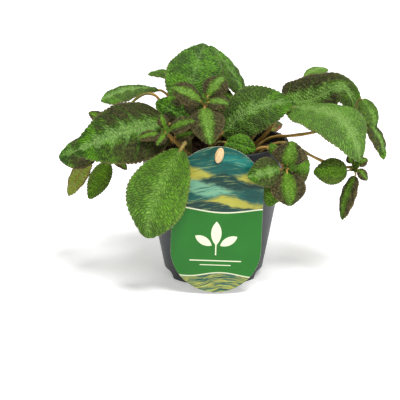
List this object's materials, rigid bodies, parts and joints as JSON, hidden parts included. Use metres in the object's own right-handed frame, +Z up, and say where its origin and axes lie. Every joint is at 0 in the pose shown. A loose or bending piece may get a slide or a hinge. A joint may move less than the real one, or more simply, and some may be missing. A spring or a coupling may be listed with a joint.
{
  "type": "potted flame violet",
  "caption": "Flame violet with crinkled silver-veined leaves, bronze rosettes and runners, in a round tapered nursery pot with a hanging label.",
  "frame": {"origin": "under the middle of the whole plant, on the surface that the pot stands on; the pot's axis stands 6.2 mm to the -X side of it", "axes": "+Z up; the label hangs on the -Y side, which faces the viewer; +X is the viewer's right, along the widest spread of the leaves"},
  "size_m": [0.263, 0.1665, 0.1799],
  "materials": {
    "pot_plastic": "satin",
    "potting_soil": "matte",
    "label_print": "satin",
    "peg_wood": "satin",
    "leaf_green": "matte",
    "leaf_copper": "matte",
    "stem": "matte"
  },
  "bodies": {
    "root": {"pot": "pot_plastic", "soil": "potting_soil", "label": "label_print", "label_peg": "peg_wood", "leaf_crest": "leaf_green", "leaf_behind_crest": "leaf_green", "leaf_upper_left": "leaf_green", "leaf_left": "leaf_green", "leaf_front": "leaf_green", "leaf_right": "leaf_green", "leaf_far_right": "leaf_green", "leaf_right_front": "leaf_green", "leaf_rear_left": "leaf_green", "leaf_rear": "leaf_green", "leaf_rear_right": "leaf_green", "leaf_small_rear_left": "leaf_green", "leaf_small_rear_right": "leaf_green", "leaf_small_front": "leaf_green", "leaf_inner_right": "leaf_green", "leaf_inner_left": "leaf_green", "shoot_centre": "stem", "shoot_left": "stem", "shoot_right": "stem", "offset_left": "leaf_copper", "runner_front_right": "leaf_copper", "runner_right": "leaf_copper", "runner_far_right": "leaf_copper", "runner_far_left": "leaf_copper", "runner_rear_left": "leaf_copper", "runner_rear_right": "leaf_copper"}
  },
  "joints": []
}
